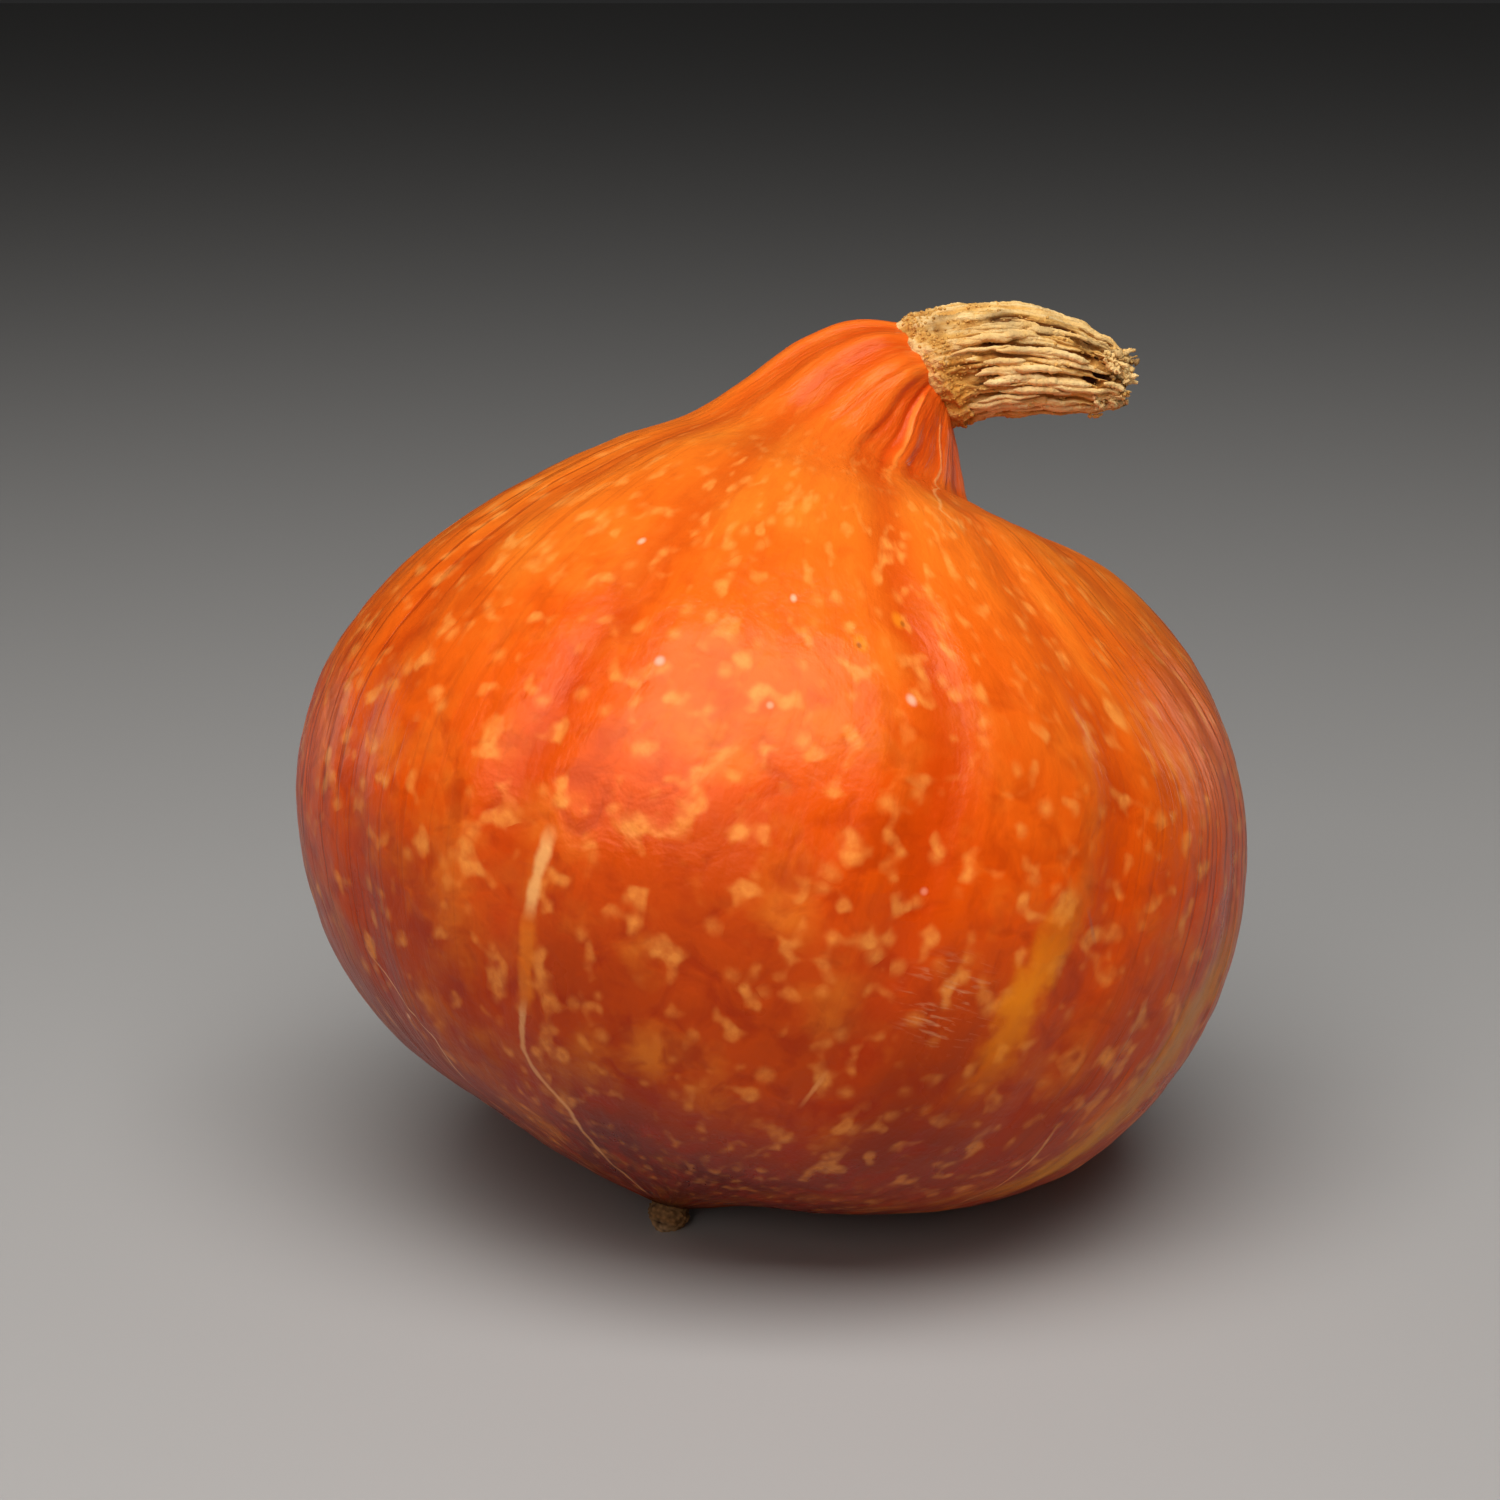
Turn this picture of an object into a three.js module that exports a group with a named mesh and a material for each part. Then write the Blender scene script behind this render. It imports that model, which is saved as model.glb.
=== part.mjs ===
// A red kuri pumpkin as picked: an onion-shaped winter squash with a crooked neck, a dry corky
// stem and a small dried blossom end. Sizes are in millimetres, with +Z up. The pumpkin leans
// over, and rests on a flattened spot of its belly and on the tip of its blossom end.
import * as THREE from "three";

// The driving sizes.
const fruitWidth = 170; // across the belly
const fruitDepthShare = 0.975; // the belly's depth, as a share of its width
const leanRight = THREE.MathUtils.degToRad(17); // the fruit's axis leans towards +X
const leanBack = THREE.MathUtils.degToRad(15); // and towards +Y
const restFlattening = 0.6; // how much of the belly's lowest point is pressed flat
const contactGap = 0.3; // between pieces that touch
const stemRadius = 10.6;
const scarRadius = 3.7;
const scarHeight = 5.4;

// How finely the skins are divided.
const fruitSegments = 72;
const ringsPerStation = 3;
const stemRidges = 13;
const stemSegments = stemRidges * 6;
const stemRings = 24;
const scarSegments = 30;

// The fruit's outline in its own upright frame, in shares of its width. Each station is one ring:
// [left distance, left height, right distance, right height]. The left and the right side differ
// because the neck bends over to the right.
const outline = [
  [0.021, 0.0, 0.021, 0.004], // blossom end
  [0.1, 0.015, 0.106, 0.036],
  [0.224, 0.054, 0.222, 0.066],
  [0.338, 0.097, 0.324, 0.112],
  [0.422, 0.162, 0.403, 0.176],
  [0.482, 0.25, 0.46, 0.271],
  [0.516, 0.347, 0.487, 0.371], // widest
  [0.516, 0.453, 0.486, 0.476],
  [0.474, 0.562, 0.451, 0.594],
  [0.394, 0.671, 0.378, 0.697],
  [0.3, 0.759, 0.265, 0.773], // shoulder
  [0.235, 0.806, 0.153, 0.794],
  [0.188, 0.86, 0.091, 0.802], // crease under the bent neck
  [0.142, 0.921, 0.071, 0.832],
  [0.092, 0.96, 0.059, 0.856],
  [0.046, 0.97, 0.046, 0.879], // rim under the stem
];
const neckPinch = 0.12; // the crease narrows the neck from front to back by this share

// The ten furrows that run from the blossom end to the rim. A bearing is counted from +X towards
// +Y, in degrees, and the depth at the belly is in millimetres.
const furrows = [
  [12, 1.1],
  [50, 1.3],
  [96, 0.9],
  [138, 1.3],
  [180, 1.0],
  [214, 1.1],
  [242, 1.2],
  [285, 1.4],
  [312, 1.2],
  [340, 1.0],
];
const furrowHalfWidth = 6; // at the belly
const furrowShare = 0.19; // of the ring's radius, where that is less

function smoothstep(value, low, high) {
  return THREE.MathUtils.smoothstep(value, low, high);
}

// A seeded random number from 0 to 1, so that the pumpkin is the same each time.
function seededRandom(seed) {
  const mixed = Math.sin(seed * 127.1 + 311.7) * 43758.5453;
  return mixed - Math.floor(mixed);
}

// One closed skin over a list of rings, with its two ends closed by fans to their centres.
// Rings run upwards and their points run from +X towards +Y.
function skinOver(rings, startCentre, endCentre) {
  const around = rings[0].length;
  const points = [...rings.flat(), startCentre, endCentre];
  const start = points.length - 2;
  const end = points.length - 1;
  const last = (rings.length - 1) * around;
  const faces = [];
  for (let j = 0; j < around; j++) {
    const next = (j + 1) % around;
    faces.push(start, next, j);
    faces.push(end, last + j, last + next);
    for (let base = 0; base < last; base += around) {
      const above = base + around;
      faces.push(base + j, base + next, above + j);
      faces.push(base + next, above + next, above + j);
    }
  }
  const geometry = new THREE.BufferGeometry().setFromPoints(points);
  geometry.setIndex(faces);
  geometry.computeVertexNormals();
  return geometry;
}

function centreOf(ring) {
  const sum = ring.reduce((total, point) => total.add(point), new THREE.Vector3());
  return sum.divideScalar(ring.length);
}

// The fruit.
function sideCurve(sign, distanceColumn) {
  const points = outline.map((station) => {
    const distance = sign * station[distanceColumn] * fruitWidth;
    return new THREE.Vector3(distance, 0, station[distanceColumn + 1] * fruitWidth);
  });
  return new THREE.CatmullRomCurve3(points);
}

const leftSide = sideCurve(-1, 0);
const rightSide = sideCurve(1, 2);

// How far the skin lies in at a bearing: t runs from the blossom end, 0, to the rim, 1.
function furrowRelief(bearing, t, radius) {
  const halfWidth = Math.min(furrowHalfWidth, furrowShare * radius);
  const onBelly = 0.25 + 0.75 * smoothstep(t, 0.1, 0.45);
  const onNeck = 0.5 * smoothstep(t, 0.66, 0.85) * (1 - smoothstep(t, 0.93, 1));
  return furrows.reduce((relief, [furrowBearing, depth]) => {
    const turn = THREE.MathUtils.degToRad(bearing - furrowBearing);
    const apart = Math.atan2(Math.sin(turn), Math.cos(turn)) * radius;
    return relief + depth * (onBelly + onNeck) * Math.exp(-((apart / halfWidth) ** 2));
  }, 0);
}

function fruitRing(t) {
  const left = leftSide.getPoint(t);
  const right = rightSide.getPoint(t);
  const centre = left.clone().add(right).multiplyScalar(0.5);
  const across = right.clone().sub(left).multiplyScalar(0.5);
  const radius = across.length();
  const pinch = neckPinch * smoothstep(t, 0.68, 0.8) * (1 - smoothstep(t, 0.86, 0.97));
  const bellyDepth = THREE.MathUtils.lerp(1, fruitDepthShare, smoothstep(t, 0.05, 0.3));
  const depth = radius * bellyDepth * (1 - pinch);
  return Array.from({ length: fruitSegments }, (_, j) => {
    const bearing = (360 * j) / fruitSegments;
    const angle = THREE.MathUtils.degToRad(bearing);
    const share = 1 - furrowRelief(bearing, t, radius) / radius;
    const point = centre.clone().addScaledVector(across, share * Math.cos(angle));
    point.y = depth * share * Math.sin(angle);
    return point;
  });
}

const ringCount = (outline.length - 1) * ringsPerStation;
const fruitRings = Array.from({ length: ringCount + 1 }, (_, i) => fruitRing(i / ringCount));
const seatRing = fruitRings[0];
const rimRing = fruitRings[ringCount];

// The floor, as a plane in the fruit's own frame: the pumpkin rests where its skin is lowest.
const restingTurn = new THREE.Matrix4()
  .makeRotationX(-leanBack)
  .multiply(new THREE.Matrix4().makeRotationY(leanRight));
const fruitUp = new THREE.Vector3(0, 0, 1).transformDirection(restingTurn.clone().invert());
const lowest = Math.min(...fruitRings.flat().map((point) => point.dot(fruitUp)));
const floorHeight = lowest + restFlattening;
const floor = new THREE.Plane(fruitUp, -floorHeight);

function pressOnFloor(point) {
  return point.addScaledVector(floor.normal, Math.max(0, -floor.distanceToPoint(point)));
}

function makeFruit() {
  const rings = fruitRings.map((ring) => ring.map(pressOnFloor));
  const material = new THREE.MeshStandardMaterial({
    color: 0xe8590c,
    roughness: 0.38,
    metalness: 0,
  });
  const geometry = skinOver(rings, centreOf(seatRing), centreOf(rimRing));
  const mesh = new THREE.Mesh(geometry, material);
  mesh.name = "fruit";
  return mesh;
}

// The stem, in a frame that stands on the rim's centre and points out of it. It swells into a
// corky collar, bends down towards the lower side, and ends in torn fibres.
const rimAcross = rimRing[0].clone().sub(rimRing[fruitSegments / 2]);
const rimTilt = Math.atan2(-rimAcross.z, rimAcross.x);
const stemPath = new THREE.CatmullRomCurve3([
  new THREE.Vector3(0, 0, 0),
  new THREE.Vector3(1.1, 0, 6.2),
  new THREE.Vector3(3.7, 0, 12.8),
  new THREE.Vector3(8.2, 0, 20.4),
  new THREE.Vector3(13, 0, 26),
  new THREE.Vector3(18, 0, 31.4),
]);
// [share of the path, share of the stem's radius]
const stemGirth = [
  [0, 0.99],
  [0.07, 1.07],
  [0.2, 1.02],
  [0.45, 0.99],
  [0.7, 0.9],
  [0.85, 0.76],
  [0.95, 0.55],
  [1, 0.42],
];
const collarBulge = 0.6; // the collar hangs over the rim by this on its lower side
const ridgeHeight = 0.15; // of the stem's radius
const tornLength = 4.5; // how unevenly the fibres end
const upperLoss = 5; // how much sooner they end on the upper side
const tornHollow = 3; // how far the torn end is hollowed

function girthAt(share) {
  const next = Math.max(1, stemGirth.findIndex(([place]) => place >= share));
  const [lowPlace, low] = stemGirth[next - 1];
  const [highPlace, high] = stemGirth[next];
  const between = THREE.MathUtils.clamp((share - lowPlace) / (highPlace - lowPlace), 0, 1);
  return stemRadius * THREE.MathUtils.lerp(low, high, between * between * (3 - 2 * between));
}

function ridgeAt(angle, share) {
  const wander = 0.5 * Math.sin(4.5 * share + 2 * angle) + 0.35 * Math.sin(9 * share + angle);
  const wave = 0.5 + 0.5 * Math.cos(stemRidges * angle + wander);
  return 1 - ridgeHeight * (1 - wave ** 0.6) * smoothstep(share, 0.02, 0.25);
}

function stemRing(share) {
  const outOfRim = new THREE.Vector3(0, 0, 1);
  const tangent = outOfRim.lerp(stemPath.getTangent(share), smoothstep(share, 0, 0.3)).normalize();
  const centre = stemPath.getPoint(share);
  const across = new THREE.Vector3(tangent.z, 0, -tangent.x);
  const collar = smoothstep(share, 0, 0.06) * (1 - smoothstep(share, 0.12, 0.32));
  return Array.from({ length: stemSegments }, (_, j) => {
    const angle = (2 * Math.PI * j) / stemSegments;
    const ridge = Math.floor((j + 3) / 6) % stemRidges;
    const lower = Math.max(0, Math.cos(angle)) ** 2;
    const upper = Math.max(0, -Math.cos(angle)) ** 2;
    const uneven = (seededRandom(ridge + 5) - 0.45) * tornLength - upper * upperLoss;
    const radius = girthAt(share) * ridgeAt(angle, share) + collarBulge * collar * lower;
    return centre
      .clone()
      .addScaledVector(across, radius * Math.cos(angle))
      .addScaledVector(tangent, uneven * smoothstep(share, 0.6, 1))
      .add(new THREE.Vector3(0, 0.97 * radius * Math.sin(angle), 0));
  });
}

function makeStem() {
  const rings = Array.from({ length: stemRings + 1 }, (_, i) => stemRing(i / stemRings));
  const tip = stemPath.getPoint(1).addScaledVector(stemPath.getTangent(1), -tornHollow);
  const material = new THREE.MeshStandardMaterial({
    color: 0xd9a95c,
    roughness: 0.9,
    metalness: 0,
  });
  const mesh = new THREE.Mesh(skinOver(rings, new THREE.Vector3(), tip), material);
  mesh.name = "stem";
  return mesh;
}

// The dried blossom end, a small corky button whose tip touches the floor.
// [share of the height, share of the radius]
const scarOutline = [
  [0, 0.84],
  [0.12, 0.97],
  [0.35, 1],
  [0.6, 0.86],
  [0.8, 0.6],
  [1, 0.3],
];

function makeBlossomEnd() {
  const rings = scarOutline
    .map(([height, share], i) =>
      Array.from({ length: scarSegments }, (_, j) => {
        const angle = (2 * Math.PI * j) / scarSegments;
        const rough = i === 0 ? 0 : 0.09 * (seededRandom(i * scarSegments + j) - 0.5);
        const radius = scarRadius * (share + 0.06 * Math.cos(5 * angle) * height + rough);
        const x = radius * Math.cos(angle);
        return new THREE.Vector3(x, radius * Math.sin(angle), -contactGap - height * scarHeight);
      }).map(pressOnFloor),
    )
    .reverse();
  const material = new THREE.MeshStandardMaterial({
    color: 0x8a6a45,
    roughness: 0.95,
    metalness: 0,
  });
  const top = new THREE.Vector3(0, 0, -contactGap);
  const mesh = new THREE.Mesh(skinOver(rings, centreOf(rings[0]), top), material);
  mesh.name = "blossom_end";
  return mesh;
}

// The pieces in place: leaning groups first, and then the whole is centred over its origin.
const stemSeat = new THREE.Group();
stemSeat.position.copy(centreOf(rimRing));
stemSeat.rotation.y = rimTilt;
const stem = makeStem();
stem.position.z = contactGap;
stemSeat.add(stem);

const leaningRight = new THREE.Group();
leaningRight.rotation.y = leanRight;
leaningRight.add(makeFruit(), stemSeat, makeBlossomEnd());

const leaningBack = new THREE.Group();
leaningBack.rotation.x = -leanBack;
leaningBack.add(leaningRight);

const pumpkin = new THREE.Group();
pumpkin.add(leaningBack);
const middle = new THREE.Box3().setFromObject(pumpkin, true).getCenter(new THREE.Vector3());
leaningBack.position.set(-middle.x, -middle.y, -floorHeight);

export default pumpkin;
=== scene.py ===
# A red kuri pumpkin: a waxy orange rind, a dry corky stem and a dried blossom end.
import math
import bpy
import numpy as np
from mathutils import Matrix, Vector


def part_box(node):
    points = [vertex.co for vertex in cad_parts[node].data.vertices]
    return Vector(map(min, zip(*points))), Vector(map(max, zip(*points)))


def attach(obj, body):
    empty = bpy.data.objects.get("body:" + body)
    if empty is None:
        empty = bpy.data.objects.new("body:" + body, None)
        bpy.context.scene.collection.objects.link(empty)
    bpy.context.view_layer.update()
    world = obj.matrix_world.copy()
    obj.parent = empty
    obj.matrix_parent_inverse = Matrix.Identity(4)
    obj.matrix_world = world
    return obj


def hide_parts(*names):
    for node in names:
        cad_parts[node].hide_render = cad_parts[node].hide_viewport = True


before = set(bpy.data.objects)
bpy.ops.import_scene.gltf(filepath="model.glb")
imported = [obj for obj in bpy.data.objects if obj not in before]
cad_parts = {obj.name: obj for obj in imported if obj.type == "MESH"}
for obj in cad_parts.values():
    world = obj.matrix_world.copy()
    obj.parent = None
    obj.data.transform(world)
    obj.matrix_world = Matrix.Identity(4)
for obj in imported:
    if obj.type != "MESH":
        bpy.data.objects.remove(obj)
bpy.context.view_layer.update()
mm = 0.001

# The camera comes first. It looks square onto the fruit's own axis, which leans back as far.
viewpoint = {
    "elevation": 15,  # degrees
    "lens": 85,
    "aimAcross": -4.1,  # mm from the origin, to the right in the picture
    "aimUp": 81.8,
    "distance": 657.7,
}


def addCamera():
    elevation = math.radians(viewpoint["elevation"])
    right = Vector((1, 0, 0))
    back = Vector((0, -math.cos(elevation), math.sin(elevation)))
    up = back.cross(right)
    aim = right * viewpoint["aimAcross"] + up * viewpoint["aimUp"]
    data = bpy.data.cameras.new("camera")
    data.lens = viewpoint["lens"]
    camera = bpy.data.objects.new("camera", data)
    turn = Matrix((right, up, back)).transposed().to_4x4()
    camera.matrix_world = Matrix.Translation((aim + back * viewpoint["distance"]) * mm) @ turn
    bpy.context.collection.objects.link(camera)
    bpy.context.scene.camera = camera


addCamera()
print("camera set")


def linear(hexColour):
    channels = [int(hexColour[i : i + 2], 16) / 255 for i in (1, 3, 5)]
    return [c / 12.92 if c <= 0.04045 else ((c + 0.055) / 1.055) ** 2.4 for c in channels] + [1.0]


# Fills a node's sockets. A value is a node, a socket to link from, or a plain value.
def fill(tree, node, values):
    for key, value in values.items():
        if isinstance(value, bpy.types.Node):
            value = next(socket for socket in value.outputs if socket.enabled)
        if isinstance(value, bpy.types.NodeSocket):
            tree.links.new(value, node.inputs[key])
        else:
            node.inputs[key].default_value = value
    return node


# Adds a node, with values for its first sockets in order and for others by name or number.
def addNode(tree, kind, *values, inputs=None, **settings):
    node = tree.nodes.new(kind)
    for name, value in settings.items():
        setattr(node, name, value)
    return fill(tree, node, {**dict(enumerate(values)), **(inputs or {})})


def maths(tree, operation, *values, **settings):
    return addNode(tree, "ShaderNodeMath", *values, operation=operation, **settings)


def product(tree, first, *others):
    for other in others:
        first = maths(tree, "MULTIPLY", first, other)
    return first


def total(tree, first, *others):
    for other in others:
        first = maths(tree, "ADD", first, other)
    return first


def vectorMaths(tree, operation, *values):
    return addNode(tree, "ShaderNodeVectorMath", *values, operation=operation)


def scaled(tree, vector, scale):
    return addNode(tree, "ShaderNodeVectorMath", vector, operation="SCALE", inputs={"Scale": scale})


def split(tree, vector):
    return addNode(tree, "ShaderNodeSeparateXYZ", vector).outputs


def combine(tree, *values):
    return addNode(tree, "ShaderNodeCombineXYZ", *values)


# From a low and a high value to two others. The eased kind has soft ends.
def remap(tree, *values, kind="LINEAR"):
    return addNode(tree, "ShaderNodeMapRange", *values, interpolation_type=kind)


def ease(tree, *values):
    return remap(tree, *values, kind="SMOOTHSTEP")


# The scale of a pattern whose grains have this size in metres, a number or a socket.
def scaleFor(tree, size):
    return 1 / size if isinstance(size, float) else maths(tree, "DIVIDE", 1.0, size)


def noise(tree, place, size, detail, roughness=0.5, distortion=0.0):
    inputs = {"Scale": scaleFor(tree, size), "Detail": detail, "Roughness": roughness}
    return addNode(tree, "ShaderNodeTexNoise", place, inputs={**inputs, "Distortion": distortion})


# A vector that wanders about zero.
def drift(tree, place, size, detail):
    wandering = noise(tree, place, size, detail).outputs["Color"]
    return vectorMaths(tree, "SUBTRACT", wandering, (0.5, 0.5, 0.5))


def cells(tree, place, size, feature="F1"):
    scale = scaleFor(tree, size)
    return addNode(tree, "ShaderNodeTexVoronoi", place, feature=feature, inputs={"Scale": scale})


# Draws a pattern out along Z, until grains of this width have this length.
def stretched(tree, place, width, length):
    squeeze = maths(tree, "DIVIDE", width, length)
    return vectorMaths(tree, "MULTIPLY", place, combine(tree, 1.0, 1.0, squeeze))


def newMaterial(name):
    material = bpy.data.materials.new(name)
    material.use_nodes = True
    return material, material.node_tree, material.node_tree.nodes["Principled BSDF"]


def shaderField(tree, name, output="Vector"):
    return addNode(tree, "ShaderNodeAttribute", attribute_name=name).outputs[output]


def blend(tree, share, under, hexColour):
    inputs = {0: share, 6: under, 7: linear(hexColour)}
    return addNode(tree, "ShaderNodeMix", data_type="RGBA", inputs=inputs).outputs[2]


def colourRamp(tree, value, steps):
    node = addNode(tree, "ShaderNodeValToRGB", value)
    ramp = node.color_ramp.elements
    for element, (position, colour) in zip(ramp, (steps[0], steps[-1])):
        element.position, element.color = position, linear(colour)
    for position, colour in steps[1:-1]:
        ramp.new(position).color = linear(colour)
    return node.outputs["Color"]


# A Geometry Nodes tree with one input for each size, and the sockets that give them.
def newTree(name, sizes):
    tree = bpy.data.node_groups.new(name, "GeometryNodeTree")
    tree.interface.new_socket("Geometry", in_out="INPUT", socket_type="NodeSocketGeometry")
    for label, value in sizes.items():
        kind = "NodeSocketInt" if isinstance(value, int) else "NodeSocketFloat"
        tree.interface.new_socket(label, in_out="INPUT", socket_type=kind)
    tree.interface.new_socket("Geometry", in_out="OUTPUT", socket_type="NodeSocketGeometry")
    return tree, tree.nodes.new("NodeGroupInput").outputs


def meshField(tree, name):
    return addNode(tree, "GeometryNodeInputNamedAttribute", name, data_type="FLOAT_VECTOR")


def store(tree, geometry, name, value, **settings):
    inputs = {"Name": name, "Value": value}
    return addNode(tree, "GeometryNodeStoreNamedAttribute", geometry, inputs=inputs, **settings)


# Moves a surface out along its normals.
def swell(tree, geometry, height):
    offset = scaled(tree, addNode(tree, "GeometryNodeInputNormal"), height)
    return addNode(tree, "GeometryNodeSetPosition", geometry, inputs={"Offset": offset})


# Keeps the spot that a piece rests on level with the floor.
def restOnFloor(tree, geometry):
    parts = split(tree, addNode(tree, "GeometryNodeInputPosition"))
    pressed = combine(tree, parts["X"], parts["Y"], maths(tree, "MAXIMUM", parts["Z"], 0.0))
    return addNode(tree, "GeometryNodeSetPosition", geometry, inputs={"Position": pressed})


def endTree(tree, geometry, material):
    whole = addNode(tree, "GeometryNodeRealizeInstances", geometry)
    painted = addNode(tree, "GeometryNodeSetMaterial", whole, inputs={"Material": material})
    addNode(tree, "NodeGroupOutput", painted)
    return tree


# Runs a tree on an object, and leaves an object of plain mesh.
def applyTree(piece, tree, sizes):
    modifier = piece.modifiers.new(tree.name, "NODES")
    modifier.node_group = tree
    for item in tree.interface.items_tree:
        if item.name in sizes:
            modifier[item.identifier] = sizes[item.name]
    shown = piece.evaluated_get(bpy.context.evaluated_depsgraph_get())
    mesh = bpy.data.meshes.new_from_object(shown)
    name = piece.name
    old = piece.data
    bpy.data.objects.remove(piece)
    if isinstance(old, bpy.types.Mesh):
        bpy.data.meshes.remove(old)
    mesh.name = name
    return addPiece(name, mesh)


def addPiece(name, data):
    piece = bpy.data.objects.new(name, data)
    bpy.context.collection.objects.link(piece)
    return piece


def smoothstep(value, low, high):
    x = np.clip((np.asarray(value, float) - low) / (high - low), 0, 1)
    return x * x * (3 - 2 * x)


# A smooth curve through points, evenly spread over t from 0 to 1.
def alongCurve(points, t):
    points = [np.asarray(point, float) for point in points]
    place = (len(points) - 1) * t
    i = min(int(place), len(points) - 2)
    w = place - i
    before = points[i - 1] if i > 0 else 2 * points[0] - points[1]
    after = points[i + 2] if i + 2 < len(points) else 2 * points[-1] - points[-2]
    a, b, c, d = before, points[i], points[i + 1], after
    ab, bc, cd = (np.linalg.norm(q - p) ** 0.5 for p, q in ((a, b), (b, c), (c, d)))
    start = bc * ((b - a) / ab - (c - a) / (ab + bc) + (c - b) / bc)
    end = bc * ((c - b) / bc - (d - b) / (bc + cd) + (d - c) / cd)
    return b + start * w + (3 * (c - b) - 2 * start - end) * w**2 + (2 * (b - c) + start + end) * w**3


# One closed skin over rings, with a fan to a centre at each end. Points are in mm in the world.
def skinOver(name, rings, startCentre, endCentre, fields):
    around = len(rings[0])
    points = np.vstack([*rings, [startCentre], [endCentre]])
    j = np.arange(around)
    k = (j + 1) % around
    start, end = len(points) - 2, len(points) - 1
    last = (len(rings) - 1) * around
    faces = [(start, int(b), int(a)) for a, b in zip(j, k)]
    faces += [(end, int(last + a), int(last + b)) for a, b in zip(j, k)]
    for base in range(0, last, around):
        faces += np.stack([base + j, base + k, base + around + k, base + around + j], 1).tolist()
    mesh = bpy.data.meshes.new(name)
    mesh.from_pydata((points * mm).tolist(), [], faces)
    for field, values in fields.items():
        whole = np.concatenate([*values, [values[0].mean(axis=0)], [values[-1].mean(axis=0)]])
        vector = whole.ndim == 2
        kind = "FLOAT_VECTOR" if vector else "FLOAT"
        layer = mesh.attributes.new(field, kind, "POINT")
        layer.data.foreach_set("vector" if vector else "value", whole.ravel())
    mesh.shade_smooth()
    return addPiece(name, mesh)


# The fruit. Distances are in mm, and bearings run from +X towards +Y, in degrees.
fruit = {
    "width": 170,
    "depthShare": 0.975,
    "leanRight": 17,
    "leanBack": 15,
    "flattened": 0.6,
    "neckPinch": 0.12,
    "neckSwing": 11,
    "furrowHalfWidth": 6,
    "furrowShare": 0.19,
    "around": 384,
    "along": 250,
}
# [left distance, left height, right distance, right height], in shares of the width
outline = [
    [0.021, 0.0, 0.021, 0.004],
    [0.1, 0.015, 0.106, 0.036],
    [0.224, 0.054, 0.222, 0.066],
    [0.338, 0.097, 0.324, 0.112],
    [0.422, 0.162, 0.403, 0.176],
    [0.482, 0.25, 0.46, 0.271],
    [0.516, 0.347, 0.487, 0.371],
    [0.516, 0.453, 0.486, 0.476],
    [0.474, 0.562, 0.451, 0.594],
    [0.394, 0.671, 0.378, 0.697],
    [0.3, 0.759, 0.265, 0.773],
    [0.235, 0.806, 0.153, 0.794],
    [0.188, 0.86, 0.091, 0.802],
    [0.142, 0.921, 0.071, 0.832],
    [0.092, 0.96, 0.059, 0.856],
    [0.046, 0.97, 0.046, 0.879],
]
# [bearing, depth]
furrows = [
    [12, 1.1],
    [50, 1.3],
    [96, 0.9],
    [138, 1.3],
    [180, 1.0],
    [214, 1.1],
    [242, 1.2],
    [285, 1.4],
    [312, 1.2],
    [340, 1.0],
]
# The narrow pleats that the bend draws in the neck, and the sharp ridges between them, whose
# depth is negative. A path gives [t, bearing].
pleats = [
    {"depth": 0.5, "halfWidth": 1.1, "path": [[0.72, 20], [1, 20]]},
    {"depth": 0.5, "halfWidth": 1.1, "path": [[0.76, 64], [1, 64]]},
    {"depth": 0.4, "halfWidth": 1.1, "path": [[0.8, 112], [1, 112]]},
    {"depth": 0.4, "halfWidth": 1.1, "path": [[0.8, 160], [1, 160]]},
    {"depth": 0.5, "halfWidth": 1.1, "path": [[0.8, 206], [1, 206]]},
    {"depth": 0.25, "halfWidth": 1, "path": [[0.78, 238], [1, 236]]},
    {"depth": 0.4, "halfWidth": 0.65, "path": [[0.72, 260], [0.8, 259.7], [0.92, 265], [1, 261]]},
    {"depth": 0.5, "halfWidth": 0.8, "path": [[0.66, 272], [0.75, 278.3], [0.86, 278.5], [1, 275]]},
    {"depth": 0.75, "halfWidth": 0.8, "path": [[0.66, 282], [0.75, 290.5], [0.824, 289.5], [1, 284]]},
    {"depth": -0.55, "halfWidth": 0.4, "path": [[0.66, 286], [0.772, 295.8], [0.824, 294], [0.98, 287]]},
    {"depth": 0.8, "halfWidth": 1.7, "path": [[0.66, 294], [0.772, 306], [0.9, 300], [1, 296]]},
    {"depth": -0.25, "halfWidth": 0.3, "path": [[0.65, 300], [0.752, 318], [0.836, 320], [0.95, 311]]},
    {"depth": 0.4, "halfWidth": 0.8, "path": [[0.7, 330], [1, 326]]},
    {"depth": 0.4, "halfWidth": 1, "path": [[0.72, 344], [1, 344]]},
    {"depth": 0.5, "halfWidth": 1.1, "path": [[0.72, 2], [1, 2]]},
]

leaning = Matrix.Rotation(math.radians(-fruit["leanBack"]), 3, "X") @ Matrix.Rotation(
    math.radians(fruit["leanRight"]), 3, "Y"
)
leftSide = [(-left * fruit["width"], 0, height * fruit["width"]) for left, height, _, _ in outline]
rightSide = [(right * fruit["width"], 0, height * fruit["width"]) for _, _, right, height in outline]


# Lines of growth swing to the crease where the neck bends, so a line keeps this bearing, not its own.
def grownBearing(bearing, t):
    angle = np.radians(bearing)
    onShoulder = smoothstep(t, 0.5, 0.66) * (1 - smoothstep(t, 0.7, 0.86))
    return bearing - fruit["neckSwing"] * onShoulder * np.sin(angle) * (1 + np.cos(angle)) ** 2


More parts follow.
